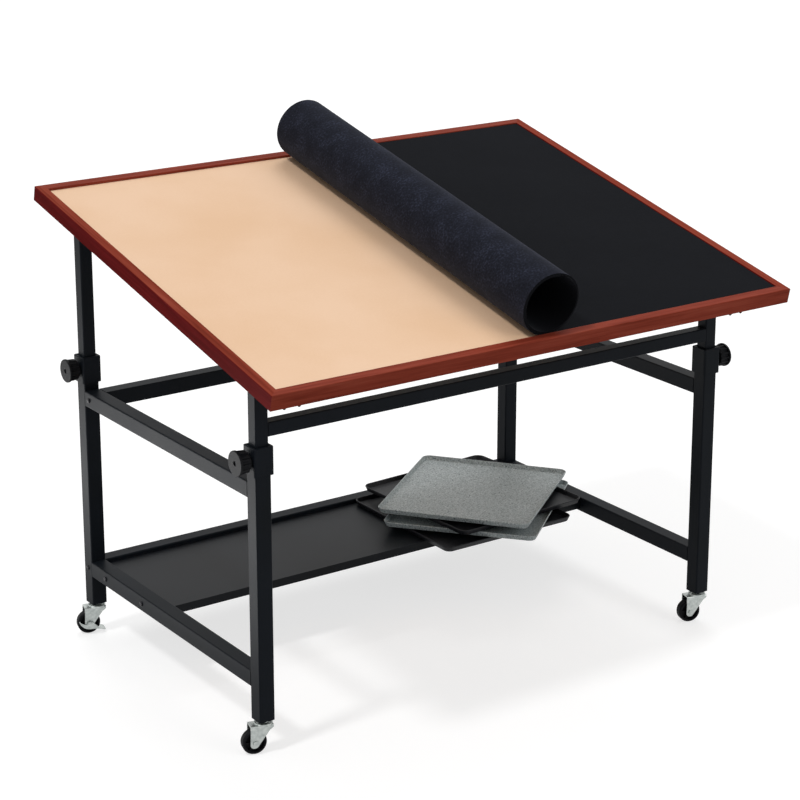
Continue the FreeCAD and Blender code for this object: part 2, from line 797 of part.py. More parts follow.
def felt_mat():
    """Felt cover: the right part lies on the board, the rest is rolled up beside it."""
    body = new_body("felt_mat")
    middle = f"(({NEAR_EDGE} + {FAR_EDGE}) / 2)"
    length = f"{FAR_EDGE} - {NEAR_EDGE} - 2 * rim_width - 2 * felt_margin"
    roll = sketch(body, "XZ_Plane", f"-{middle}")
    axis_height = f"{BOARD_TOP} + roll_diameter / 2"
    circle(roll, "roll_diameter / 2", "roll_offset", axis_height)
    circle(roll, "roll_diameter / 2 - roll_wall", "roll_offset", axis_height)
    pad(body, roll, length)
    laid = sketch(body, "XZ_Plane", f"-{middle}")
    rectangle(laid, "roll_offset", f"{HALF_TOP} - rim_width - felt_margin", BOARD_TOP,
              f"{BOARD_TOP} + felt_thickness")
    pad(body, laid, length)
    tilted(body)
    node(body, "felt_mat")


# ---------------------------------------------------------------- clamp knobs

def knob(side, end):
    """Fluted hand knob with a neck, a smooth recessed cap and a threaded stud."""
    label = f"clamp_knob_{end}_{side}"
    body = new_body(label)
    stud_end = "-(collar_size - inner_size) / 2 + end_play"
    turned(body, [
        ("0", stud_end),
        ("stud_size / 2", stud_end),
        ("stud_size / 2", "end_play"),
        ("knob_hub / 2", "end_play"),
        ("knob_hub / 2", "knob_neck"),
        ("knob_diameter / 2 - 4.5", "knob_neck"),
        ("knob_diameter / 2 - 2.5", "knob_neck + 2"),
        ("knob_diameter / 2 - 1.2", "knob_length - knob_cap"),
        ("knob_diameter / 2", "knob_length - knob_cap"),
        ("knob_diameter / 2", "knob_length"),
        ("0", "knob_length"),
    ])
    cut = sketch(body, "XY_Plane", "knob_neck - 1")
    circle(cut, "flute_radius", "knob_diameter / 2 - flute_radius * 0.25", "0")
    flute = pocket(body, cut, "knob_length - knob_neck - knob_cap + 1", symmetric=False, back=True)
    repeat_round(body, flute, "Z_Axis", "flute_count")
    fillet(body, "knob_edge", at_height(value("knob_length")))
    recess = sketch(body, "XY_Plane", "knob_length - knob_recess_depth")
    circle(recess, "knob_recess / 2")
    pocket(body, recess, "knob_recess_depth + 1", symmetric=False, back=True)
    outwards = SIDES[side]
    place(body, f"{outwards} * (leg_span / 2 + collar_size / 2)", f"{ENDS[end]} * leg_reach / 2",
          KNOB_Z, (0, 1, 0), f"{outwards} * 90")
    node(body, label)


# ---------------------------------------------------------------- casters
# A caster is drawn with its swivel axis as Z, trailing towards -X, and is then
# turned by its yaw.

AXLE_X = "-caster_trail"
AXLE_Z = "wheel_diameter / 2"


def at_leg(item, side, end):
    place(item, f"{SIDES[side]} * leg_span / 2", f"{ENDS[end]} * leg_reach / 2", "0",
          (0, 0, 1), "-caster_yaw")


def caster_plugs():
    """Square plastic sockets in the leg ends that grip the caster stems."""
    plugs = []
    for end in ENDS:
        for side in SIDES:
            body = plug(f"caster_plug_{end}_{side}", "XY_Plane", "stem_plug_length", "stem_size",
                        symmetric=False, offset="leg_base")
            place(body, f"{SIDES[side]} * leg_span / 2", f"{ENDS[end]} * leg_reach / 2", "0")
            plugs.append(body)
    group("caster_plugs", plugs)


def caster_stems():
    """Stem, upper ball race and riveted kingpin, fixed in the leg."""
    stems = []
    rivet_top = "fork_hood - hole_play"
    for end in ENDS:
        for side in SIDES:
            body = new_body(f"caster_stem_{end}_{side}")
            turned(body, [
                ("0", f"{rivet_top} - rivet_head_height"),
                ("rivet_head / 2 - 1", f"{rivet_top} - rivet_head_height"),
                ("rivet_head / 2", f"{rivet_top} - rivet_head_height + 1"),
                ("rivet_head / 2", rivet_top),
                ("kingpin_size / 2", rivet_top),
                ("kingpin_size / 2", "leg_base - race_height"),
                ("race_diameter / 2 - 1", "leg_base - race_height"),
                ("race_diameter / 2", "leg_base - race_height / 2"),
                ("race_diameter / 2 - 1", "leg_base"),
                ("stem_size / 2", "leg_base"),
                ("stem_size / 2", "leg_base + stem_length"),
                ("0", "leg_base + stem_length"),
            ])
            place(body, f"{SIDES[side]} * leg_span / 2", f"{ENDS[end]} * leg_reach / 2", "0")
            stems.append(body)
    group("caster_stems", stems)


def fork(side, end):
    """Pressed steel fork: a hood with a ball cup and two tapered cheeks with round ends."""
    label = f"caster_fork_{end}_{side}"
    body = new_body(label)
    cheek = sketch(body, "XZ_Plane")
    hood_top = "(fork_hood + fork_wall)"
    back_edge = f"{AXLE_X} - fork_end_radius"
    polygon(cheek, [
        ("cup_diameter / 2 - 1", hood_top),
        (f"{back_edge} + 1", hood_top),
        (back_edge, f"{AXLE_Z} - fork_end_radius"),
        (f"{AXLE_X} + fork_end_radius * 0.35", f"{AXLE_Z} - fork_end_radius"),
        ("cup_diameter / 2 - 8", "fork_hood - 8"),
        ("cup_diameter / 2 - 1", "fork_hood - 3"),
    ])
    pad(body, cheek, "fork_gap + 2 * fork_wall")
    low = value(f"{AXLE_Z} - fork_end_radius")
    fillet(body, "fork_end_radius * 0.78", at_height(low, along("y")))
    fillet(body, "fork_wall", at_height(value(hood_top), along("x")))
    throat = sketch(body, "XZ_Plane")
    rectangle(throat, "-2 * wheel_diameter", "2 * wheel_diameter", "0", "fork_hood")
    pocket(body, throat, "fork_gap")
    cup = sketch(body, "XY_Plane", "fork_hood")
    circle(cup, "cup_diameter / 2")
    pad(body, cup, "cup_height", symmetric=False)
    fillet(body, "fork_wall * 0.7", at_height(value("fork_hood + cup_height")))
    race = sketch(body, "XY_Plane", "fork_hood + cup_height")
    circle(race, "race_diameter / 2 + 1")
    pocket(body, race, "cup_height - fork_wall", symmetric=False)
    pin_hole = sketch(body, "XY_Plane", "fork_hood")
    circle(pin_hole, "kingpin_size / 2 + hole_play")
    pocket(body, pin_hole, "4 * cup_height")
    axle_hole = sketch(body, "XZ_Plane")
    circle(axle_hole, "axle_size / 2", AXLE_X, AXLE_Z)
    pocket(body, axle_hole, "2 * fork_gap")
    at_leg(body, side, end)
    node(body, label)


def wheel(side, end):
    """Moulded wheel with a deep rim, a thin web, ribs and a hub."""
    label = f"caster_wheel_{end}_{side}"
    body = new_body(label)
    bore = "axle_size / 2 + hole_play"
    hub = "wheel_hub / 2"
    rim_inside = "wheel_diameter / 2 - wheel_rim"
    tread = "wheel_diameter / 2"
    hub_face = "(fork_gap / 2 - pedal_play)"
    profile = sketch(body, "XY_Plane")
    polygon(profile, [
        (bore, f"-{hub_face}"),
        (hub, f"-{hub_face}"),
        (hub, "-wheel_web / 2"),
        (rim_inside, "-wheel_web / 2"),
        (rim_inside, "-wheel_width / 2"),
        (f"{tread} - 1.5", "-wheel_width / 2"),
        (tread, "-wheel_width / 2 + 3"),
        (tread, "wheel_width / 2 - 3"),
        (f"{tread} - 1.5", "wheel_width / 2"),
        (rim_inside, "wheel_width / 2"),
        (rim_inside, "wheel_web / 2"),
        (hub, "wheel_web / 2"),
        (hub, hub_face),
        (bore, hub_face),
    ])
    revolve(body, profile)
    rib_sketch = sketch(body, "XZ_Plane")
    rectangle(rib_sketch, f"{hub} - 1", f"{rim_inside} + 1", "-spoke_width / 2", "spoke_width / 2")
    rib = pad(body, rib_sketch, "wheel_width - 4")
    repeat_round(body, rib, "Y_Axis", "spoke_count")
    place(body, f"{SIDES[side]} * leg_span / 2 - caster_trail * cos(caster_yaw)",
          f"{ENDS[end]} * leg_reach / 2 + caster_trail * sin(caster_yaw)", AXLE_Z,
          (0, 0, 1), "-caster_yaw")
    node(body, label)


def axle(side, end):
    """Axle bolt and nut through the fork, its head outside the pedal where there is one."""
    label = f"caster_axle_{end}_{side}"
    body = new_body(label)
    pedal_room = "pedal_wall + 2 * pedal_play" if end == "far" else "0"
    head_face = f"(fork_gap / 2 + fork_wall + {pedal_room})"
    nut_face = "(fork_gap / 2 + fork_wall)"
    shank = sketch(body, "XZ_Plane", head_face)
    circle(shank, "axle_size / 2", AXLE_X, AXLE_Z)
    pad(body, shank, f"{head_face} + {nut_face}", symmetric=False, back=True)
    for offset, back in ((head_face, False), (f"-{nut_face}", True)):
        head = sketch(body, "XZ_Plane", offset)
        circle(head, "axle_head / 2", AXLE_X, AXLE_Z)
        pad(body, head, "axle_head_height", symmetric=False, back=back)
    at_leg(body, side, end)
    node(body, label)


def pedal(side):
    """Brake lever stamped from sheet: a crescent on the near cheek, with a flanged edge and a
    tread folded across behind the wheel."""
    label = f"brake_pedal_far_{side}"
    body = new_body(label)
    inner_face = "(fork_gap / 2 + fork_wall + pedal_play)"
    outer_face = f"({inner_face} + pedal_wall)"

    def at(x, z):
        """A place given from the axle, in parts of the crescent's outer radius."""
        return f"{AXLE_X} + {x} * pedal_curve", f"{AXLE_Z} + {z} * pedal_curve"

    crescent = sketch(body, "XZ_Plane", inner_face)
    circle(crescent, "pedal_curve", *at(0.085, 0.51))
    pad(body, crescent, "pedal_wall", symmetric=False)
    hollow = sketch(body, "XZ_Plane", inner_face)
    circle(hollow, "pedal_curve * 0.684", *at(-0.256, 0.641))
    pocket(body, hollow, "4 * pedal_wall")
    above = sketch(body, "XZ_Plane", inner_face)
    rectangle(above, f"{AXLE_X} - 2 * pedal_curve", f"{AXLE_X} + 2 * pedal_curve",
              f"{AXLE_Z} + 0.265 * pedal_curve", f"{AXLE_Z} + 3 * pedal_curve")
    pocket(body, above, "4 * pedal_wall")
    beyond = sketch(body, "XZ_Plane", inner_face)
    rectangle(beyond, f"{AXLE_X} + 0.085 * pedal_curve", f"{AXLE_X} + 2 * pedal_curve",
              f"{AXLE_Z} - pedal_curve", f"{AXLE_Z} + pedal_curve")
    pocket(body, beyond, "4 * pedal_wall")
    fold = at(0.87, -0.505)
    arm = sketch(body, "XZ_Plane", inner_face)
    polygon(arm, [
        at(-0.09, -0.25), at(0.085, 0.05), at(0.215, 0.15), fold,
        (fold[0], f"{fold[1]} - pedal_wall"), at(0.34, -0.497), at(0, -0.488),
    ])
    pad(body, arm, "pedal_wall", symmetric=False)
    eye = sketch(body, "XZ_Plane", inner_face)
    circle(eye, "pedal_eye", AXLE_X, AXLE_Z)
    pad(body, eye, "pedal_wall", symmetric=False)
    flange = sketch(body, "XZ_Plane", inner_face)
    polygon(flange, [at(0.215, 0.15), fold, at(0.82, -0.535), at(0.165, 0.1)])
    pad(body, flange, "pedal_wall + pedal_flange", symmetric=False)
    tread = sketch(body, "XZ_Plane", outer_face)
    tip_x, tip_z = f"{AXLE_X} + pedal_reach", f"{AXLE_Z} - pedal_drop"
    polygon(tread, [fold, (fold[0], f"{fold[1]} - pedal_wall"),
                    (tip_x, f"{tip_z} - pedal_wall"), (tip_x, tip_z)])
    pad(body, tread, "pedal_tread", symmetric=False, back=True)
    tip = value(tip_x)
    fillet(body, "pedal_tip", lambda edge: along("z")(edge) and abs(edge.BoundBox.XMax - tip) < 1e-4)
    axle_hole = sketch(body, "XZ_Plane")
    circle(axle_hole, "axle_size / 2 + hole_play", AXLE_X, AXLE_Z)
    pocket(body, axle_hole, f"2 * {outer_face} + 1")
    at_leg(body, side, "far")
    node(body, label)


# ---------------------------------------------------------------- sorting trays

TRAYS = [
    # name, middle of the tray from the middle of the legs, and its turn in degrees
    ("tray_bottom", "242", "125", "90"),
    ("tray_lower", "273", "112", "40"),
    ("tray_upper", "277", "139", "93"),
    ("tray_top", "272", "125", "38"),
]


def tray(number, label, x, y, angle):
    """Shallow sorting tray with rounded corners and walls that lean outwards."""
    body = new_body(label)
    outline = sketch(body, "XY_Plane")
    rounded_rectangle(outline, "tray_width", "tray_depth", "tray_corner")
    block = pad(body, outline, "tray_height", symmetric=False, back=True)
    block.setExpression("TaperAngle", sized("-tray_draft"))
    opening = sketch(body, "XY_Plane")
    rounded_rectangle(opening, "tray_width - 2 * tray_wall", "tray_depth - 2 * tray_wall",
                      "tray_corner - tray_wall")
    hollow = pocket(body, opening, "tray_height - tray_wall", symmetric=False)
    hollow.setExpression("TaperAngle", sized("-tray_draft"))
    fillet(body, "tray_wall * 0.45", at_height(0))
    fillet(body, "tray_fold", at_height(value("-tray_height")))
    fillet(body, "tray_fold", at_height(value("tray_wall - tray_height")))
    level = f"(tray_play + tray_height) * {number + 1}"
    place(body, x, y, f"lower_rail_top - shelf_step + {level}", (0, 0, 1), angle)
    node(body, label)


# ---------------------------------------------------------------- the table

for side_name in SIDES:
    for end_name in ENDS:
        outer_leg(side_name, end_name)
        collar(side_name, end_name)
        inner_leg(side_name, end_name)
        knob(side_name, end_name)
        fork(side_name, end_name)
        wheel(side_name, end_name)
        axle(side_name, end_name)
    for level_name in LONG_RAILS:
        side_rail(level_name, side_name)
    batten(side_name)
    channel(side_name)
    pedal(side_name)
for level_name in LONG_RAILS:
    long_rail(level_name)
rail_plugs()
shelf()
frame_bolts()
near_long_rail()
pivot_bolts()
rims()
board()
channel_screws()
felt_mat()
caster_plugs()
caster_stems()
for tray_number, tray_row in enumerate(TRAYS):
    tray(tray_number, *tray_row)

doc.recompute()
for item in doc.Objects:
    if "Invalid" in item.State or "Error" in item.State:
        raise RuntimeError(f"{item.Label} failed: {item.State}")
for item in nodes:
    if item.Shape.isNull() or not item.Shape.isValid():
        raise RuntimeError(f"{item.Label} has no valid shape")

os.makedirs("parts", exist_ok=True)
for item in nodes:
    item.Shape.exportStep(f"parts/{item.Label}.step")
print(len(nodes), "nodes")
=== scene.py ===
"""Jigsaw puzzle table: a tilting framed board with a felt roll-up cover, sorting trays and a
shelf on a black steel frame with casters."""

import math

import bpy
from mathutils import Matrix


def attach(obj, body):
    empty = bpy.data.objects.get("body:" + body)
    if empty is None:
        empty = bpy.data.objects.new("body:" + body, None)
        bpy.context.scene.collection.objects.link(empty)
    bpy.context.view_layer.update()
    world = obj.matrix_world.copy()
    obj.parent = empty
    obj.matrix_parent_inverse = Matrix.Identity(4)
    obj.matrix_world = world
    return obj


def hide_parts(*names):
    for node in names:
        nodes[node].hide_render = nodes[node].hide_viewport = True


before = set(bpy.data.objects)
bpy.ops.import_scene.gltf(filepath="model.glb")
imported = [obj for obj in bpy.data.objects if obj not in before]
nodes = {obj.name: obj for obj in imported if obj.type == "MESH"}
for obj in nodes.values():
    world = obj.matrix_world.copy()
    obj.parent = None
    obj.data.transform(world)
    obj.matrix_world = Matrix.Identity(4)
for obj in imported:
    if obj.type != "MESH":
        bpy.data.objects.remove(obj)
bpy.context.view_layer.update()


# Steel frame: square tubes, welded rails and sleeves, sprayed with satin black powder coat
# and baked. The powder flows into a faint orange peel, so highlights stay soft-edged.

def linear(code):
    """A hex sRGB colour as linear RGBA."""
    channels = [int(code[i:i + 2], 16) / 255 for i in (1, 3, 5)]
    return [c / 12.92 if c <= 0.04045 else ((c + 0.055) / 1.055) ** 2.4 for c in channels] + [1.0]


def finish_named(name):
    """An empty node material with its Principled shader and its object coordinates."""
    finish = bpy.data.materials.new(name)
    finish.use_nodes = True
    shader = finish.node_tree.nodes["Principled BSDF"]
    place = finish.node_tree.nodes.new("ShaderNodeTexCoord").outputs["Object"]
    return finish, shader, place


def add(finish, kind, settings=None, links=None):
    """Adds a node: settings are attributes, sockets or colour stops, links feed its sockets."""
    new = finish.node_tree.nodes.new(kind)
    for key, value in (settings or {}).items():
        if key == "stops":
            ramp = new.color_ramp.elements
            while len(ramp) < len(value):
                ramp.new(0.5)
            for stop, (position, code) in zip(ramp, value):
                stop.position, stop.color = position, linear(code)
        elif key in new.inputs.keys() or isinstance(key, int):
            new.inputs[key].default_value = value
        else:
            setattr(new, key, value)
    for key, source in (links or {}).items():
        finish.node_tree.links.new(new.inputs[key], source)
    return new


def wear(finish, *names):
    """Puts the finish on these CAD nodes."""
    for name in names:
        for slot in nodes[name].material_slots:
            slot.material = finish


powder_coat, shader, place = finish_named("satin_black_powder_coat")
# Orange peel is 0.3 to 1 mm across, drawn here at 2.5 mm so that it shows. The film's depth
# of colour drifts over about 110 mm.
peel = add(powder_coat, "ShaderNodeTexNoise", {"Scale": 400.0, "Detail": 2.0}, {"Vector": place})
cloud = add(powder_coat, "ShaderNodeTexNoise", {"Scale": 9.0, "Detail": 3.0}, {"Vector": place})
tone = add(powder_coat, "ShaderNodeValToRGB",
           {"stops": [(0.3, "#0f1317"), (0.7, "#15191f")]}, {"Fac": cloud.outputs["Fac"]})
gloss = add(powder_coat, "ShaderNodeMapRange", {"To Min": 0.42, "To Max": 0.52},
            {"Value": cloud.outputs["Fac"]})
bumps = add(powder_coat, "ShaderNodeBump", {"Strength": 0.08, "Distance": 0.0004},
            {"Height": peel.outputs["Fac"]})
powder_coat.node_tree.links.new(shader.inputs["Base Color"], tone.outputs["Color"])
powder_coat.node_tree.links.new(shader.inputs["Roughness"], gloss.outputs["Result"])
powder_coat.node_tree.links.new(shader.inputs["Normal"], bumps.outputs["Normal"])
shader.inputs["Specular IOR Level"].default_value = 0.06
CORNERS = [f"{end}_{side}" for end in ("near", "far") for side in ("left", "right")]
wear(powder_coat,
     *[f"{part}_{corner}" for part in ("outer_leg", "inner_leg", "collar") for corner in CORNERS],
     *[f"{part}_{side}" for part in ("side_rail_upper", "side_rail_lower", "tilt_channel")
       for side in ("left", "right")],
     "long_rail_upper", "long_rail_lower", "inner_long_rail_near")


# Bolts: button-head machine screws of steel, blackened in a hot bath and oiled, which gives
# them a dull metallic shine with darker stains.
black_oxide, shader, place = finish_named("black_oxide_steel")
# Oil stains are 1 to 2 mm across.
stain = add(black_oxide, "ShaderNodeTexNoise", {"Scale": 700.0, "Detail": 4.0}, {"Vector": place})
tone = add(black_oxide, "ShaderNodeValToRGB",
           {"stops": [(0.35, "#17171a"), (0.7, "#28282b")]}, {"Fac": stain.outputs["Fac"]})
black_oxide.node_tree.links.new(shader.inputs["Base Color"], tone.outputs["Color"])
shader.inputs["Metallic"].default_value = 0.5
shader.inputs["Roughness"].default_value = 0.4
shader.inputs["Specular IOR Level"].default_value = 0.15
wear(black_oxide, "frame_bolts", "channel_screws", "pivot_bolts_near", "pivot_bolt_far_left",
     "pivot_bolt_far_right")


# Clamp knobs, tube plugs and wheels: injection-moulded black nylon, with the fine spark-eroded
# grain of the mould that spreads the highlights.
nylon, shader, place = finish_named("moulded_black_nylon")
# The mould's grain is 0.1 to 0.3 mm, drawn here at 1 mm so that it shows.
grain = add(nylon, "ShaderNodeTexNoise", {"Scale": 1000.0, "Detail": 3.0}, {"Vector": place})
tone = add(nylon, "ShaderNodeValToRGB",
           {"stops": [(0.3, "#0d0e10"), (0.75, "#17181b")]}, {"Fac": grain.outputs["Fac"]})
bumps = add(nylon, "ShaderNodeBump", {"Strength": 0.15, "Distance": 0.0003},
            {"Height": grain.outputs["Fac"]})
nylon.node_tree.links.new(shader.inputs["Base Color"], tone.outputs["Color"])
nylon.node_tree.links.new(shader.inputs["Normal"], bumps.outputs["Normal"])
shader.inputs["Roughness"].default_value = 0.5
shader.inputs["Specular IOR Level"].default_value = 0.07
wear(nylon, "rail_plugs", "caster_plugs",
     *[f"{part}_{corner}" for part in ("clamp_knob", "caster_wheel") for corner in CORNERS])


# Caster forks, stems, axles and brake pedals: pressed steel, bright zinc plated. The plating is
# bluish white, slightly cloudy, and smooth enough to mirror the floor softly.
zinc, shader, place = finish_named("bright_zinc_plate")
# The bath leaves clouds 6 mm across, which dull the shine where they are pale.
cloud = add(zinc, "ShaderNodeTexNoise", {"Scale": 160.0, "Detail": 4.0}, {"Vector": place})
tone = add(zinc, "ShaderNodeValToRGB",
           {"stops": [(0.3, "#9da3a1"), (0.7, "#bdc2bf")]}, {"Fac": cloud.outputs["Fac"]})
gloss = add(zinc, "ShaderNodeMapRange", {"To Min": 0.24, "To Max": 0.4},
            {"Value": cloud.outputs["Fac"]})
zinc.node_tree.links.new(shader.inputs["Base Color"], tone.outputs["Color"])
zinc.node_tree.links.new(shader.inputs["Roughness"], gloss.outputs["Result"])
shader.inputs["Metallic"].default_value = 1.0
wear(zinc, "caster_stems", "brake_pedal_far_left", "brake_pedal_far_right",
     *[f"{part}_{corner}" for part in ("caster_fork", "caster_axle") for corner in CORNERS])


# Rims: planed softwood strips, mitred at the corners, wiped with a red mahogany stain and
# sealed with a thin lacquer, so the grain still shows. It runs along each strip. On the two
# side strips, the faces turned to the left or right are painted darker as painted shade.
TILT = math.radians(12.5)
# Strips across the front and back, then those up the sides: the grain's turn, the painted
# shade that faces turned left or right are multiplied by, the lacquer's gloss, and the rims.
for strip, turn, edge, lacquer, rims in (
        ("cross", 0.0, "#ffffff", 0.015, ("rim_near", "rim_far")),
        ("deep", -math.pi / 2, "#c9769a", 0.004, ("rim_left", "rim_right"))):
    stained_wood, shader, place = finish_named(f"mahogany_stained_wood_{strip}")
    # Turned so that the grain runs along X, with rings 9 mm apart. Fibres are 0.1 mm wide,
    # drawn here at 1.4 mm so that they show.
    along = add(stained_wood, "ShaderNodeMapping", {"Rotation": (-TILT, 0.0, turn)},
                {"Vector": place})
    rings = add(stained_wood, "ShaderNodeMapping", {"Scale": (5.0, 110.0, 110.0)},
                {"Vector": along.outputs["Vector"]})
    fibres = add(stained_wood, "ShaderNodeMapping", {"Scale": (25.0, 700.0, 700.0)},
                 {"Vector": along.outputs["Vector"]})
    bands = add(stained_wood, "ShaderNodeTexNoise",
                {"Scale": 1.0, "Detail": 4.0, "Distortion": 0.6},
                {"Vector": rings.outputs["Vector"]})
    hairs = add(stained_wood, "ShaderNodeTexNoise", {"Scale": 1.0, "Detail": 3.0},
                {"Vector": fibres.outputs["Vector"]})
    both = add(stained_wood, "ShaderNodeMath", {"operation": "MULTIPLY_ADD", 1: 0.35},
               {0: hairs.outputs["Fac"], 2: bands.outputs["Fac"]})
    tone = add(stained_wood, "ShaderNodeValToRGB",
               {"stops": [(0.42, "#702b1e"), (0.66, "#87392a"), (0.95, "#984938")]},
               {"Fac": both.outputs["Value"]})
    # A face is painted darker, as painted shade, where it faces left or right.
    outward = stained_wood.node_tree.nodes["Texture Coordinate"].outputs["Normal"]
    facing = add(stained_wood, "ShaderNodeSeparateXYZ", {}, {"Vector": outward})
    sideways = add(stained_wood, "ShaderNodeMath", {"operation": "ABSOLUTE"},
                   {0: facing.outputs["X"]})
    side_shade_mask = add(stained_wood, "ShaderNodeMapRange", {"From Min": 0.6, "From Max": 0.9},
               {"Value": sideways.outputs["Value"]})
    # Painted shade: there the stain's colour is multiplied by the edge colour.
    painted_side_shade = add(stained_wood, "ShaderNodeMix",
                 {"data_type": "RGBA", "blend_type": "MULTIPLY", 7: linear(edge)},
                 {0: side_shade_mask.outputs["Result"], 6: tone.outputs["Color"]})
    bumps = add(stained_wood, "ShaderNodeBump", {"Strength": 0.12, "Distance": 0.0003},
                {"Height": hairs.outputs["Fac"]})
    stained_wood.node_tree.links.new(shader.inputs["Base Color"], painted_side_shade.outputs[2])
    stained_wood.node_tree.links.new(shader.inputs["Normal"], bumps.outputs["Normal"])
    shader.inputs["Roughness"].default_value = 0.3
    shader.inputs["Specular IOR Level"].default_value = lacquer
    wear(stained_wood, *rims)


# Rim glides: two pairs of small domed nylon pads tacked under the near rim, of the same moulded
# black nylon as the knobs. They are shaped in the board's own frame, which has its origin at
# the near pivot.
GLIDES_ACROSS = (-0.5275, -0.4995, 0.4195, 0.4445)
GLIDES_NEAR = -0.1396                # 4 mm behind the rim's near face
GLIDE_RADIUS = 0.0032
RIM_UNDERSIDE = 0.0200
CLEARANCE = 0.0001
bpy.ops.object.select_all(action="DESELECT")
bpy.ops.mesh.primitive_uv_sphere_add(segments=24, ring_count=12, radius=GLIDE_RADIUS,
                                     location=(GLIDES_ACROSS[0], GLIDES_NEAR, RIM_UNDERSIDE))
bpy.ops.transform.resize(value=(1.0, 1.0, 1.6))
bpy.ops.object.transform_apply(location=True, rotation=True, scale=True)
bpy.ops.object.mode_set(mode="EDIT")
bpy.ops.mesh.select_all(action="SELECT")
# Cut flat just below the rim.
bpy.ops.mesh.bisect(plane_co=(0, 0, RIM_UNDERSIDE - CLEARANCE), plane_no=(0, 0, 1),
                    clear_outer=True, use_fill=True)
bpy.ops.object.mode_set(mode="OBJECT")
pads = [bpy.context.active_object]
for last, across in zip(GLIDES_ACROSS, GLIDES_ACROSS[1:]):
    bpy.ops.object.duplicate(linked=False)
    bpy.ops.transform.translate(value=(across - last, 0, 0))
    pads.append(bpy.context.active_object)
for pad in pads:
    pad.select_set(True)
bpy.context.view_layer.objects.active = pads[0]
bpy.ops.object.join()
rim_glides = bpy.context.active_object
rim_glides.name = "rim_glides"
bpy.ops.object.mode_set(mode="EDIT")
# From the board's frame into the room: turned by the tilt about X, then up to the near pivot.
PIVOT_Y, PIVOT_Z = -0.26088, 0.677
bpy.ops.mesh.select_all(action="SELECT")
bpy.ops.transform.rotate(value=-TILT, orient_axis="X", center_override=(0, 0, 0))
bpy.ops.transform.translate(value=(0, PIVOT_Y, PIVOT_Z))
bpy.ops.object.mode_set(mode="OBJECT")
bpy.ops.object.shade_smooth_by_angle(angle=math.radians(40))
rim_glides.data.materials.append(nylon)
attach(rim_glides, "tabletop")


# Board: hardwood-faced fibreboard, sanded and sealed matt, pale peach with faint cloudy
# mottling and hardly any grain.
board_face, shader, place = finish_named("sealed_fibreboard_face")
# The mottling is 200 mm across. Wood fibres are under 1 mm, drawn here at 4 mm so that they show.
mottle = add(board_face, "ShaderNodeTexNoise", {"Scale": 5.0, "Detail": 3.0}, {"Vector": place})
flecks = add(board_face, "ShaderNodeTexNoise", {"Scale": 260.0, "Detail": 3.0}, {"Vector": place})
both = add(board_face, "ShaderNodeMath", {"operation": "MULTIPLY_ADD", 1: 0.3},
           {0: flecks.outputs["Fac"], 2: mottle.outputs["Fac"]})
tone = add(board_face, "ShaderNodeValToRGB",
           {"stops": [(0.45, "#eac39f"), (0.85, "#f0ccac")]}, {"Fac": both.outputs["Value"]})
bumps = add(board_face, "ShaderNodeBump", {"Strength": 0.05, "Distance": 0.0002},
            {"Height": flecks.outputs["Fac"]})
board_face.node_tree.links.new(shader.inputs["Base Color"], tone.outputs["Color"])
board_face.node_tree.links.new(shader.inputs["Normal"], bumps.outputs["Normal"])
shader.inputs["Roughness"].default_value = 0.62
shader.inputs["Specular IOR Level"].default_value = 0.15
wear(board_face, "board_panel")


# Battens: plain planed pine glued under the board near its ends, unstained, with straight
# open grain along Y.
pine, shader, place = finish_named("bare_pine")
# Rings are 9 mm apart and run 170 mm before they wander.
along = add(pine, "ShaderNodeMapping", {"Scale": (110.0, 6.0, 110.0)}, {"Vector": place})
bands = add(pine, "ShaderNodeTexNoise", {"Scale": 1.0, "Detail": 4.0, "Distortion": 0.5},
            {"Vector": along.outputs["Vector"]})
tone = add(pine, "ShaderNodeValToRGB",
           {"stops": [(0.35, "#a87d50"), (0.65, "#c79d6c")]}, {"Fac": bands.outputs["Fac"]})
pine.node_tree.links.new(shader.inputs["Base Color"], tone.outputs["Color"])
shader.inputs["Roughness"].default_value = 0.7
wear(pine, "under_batten_left", "under_batten_right")


# Shelf: fibreboard with black melamine faces, slightly glossy, with a fine leather grain
# pressed into the foil.
melamine, shader, place = finish_named("black_melamine_board")
# The pressed grain is 1 mm, drawn here at 2.2 mm so that it shows.
grain = add(melamine, "ShaderNodeTexVoronoi", {"Scale": 450.0}, {"Vector": place})
cloud = add(melamine, "ShaderNodeTexNoise", {"Scale": 6.0, "Detail": 2.0}, {"Vector": place})
tone = add(melamine, "ShaderNodeValToRGB",
           {"stops": [(0.3, "#0e1013"), (0.7, "#14171b")]}, {"Fac": cloud.outputs["Fac"]})
bumps = add(melamine, "ShaderNodeBump", {"Strength": 0.06, "Distance": 0.0003},
            {"Height": grain.outputs["Distance"]})
melamine.node_tree.links.new(shader.inputs["Base Color"], tone.outputs["Color"])
melamine.node_tree.links.new(shader.inputs["Normal"], bumps.outputs["Normal"])
shader.inputs["Roughness"].default_value = 0.42
shader.inputs["Specular IOR Level"].default_value = 0.10
wear(melamine, "shelf_panel")


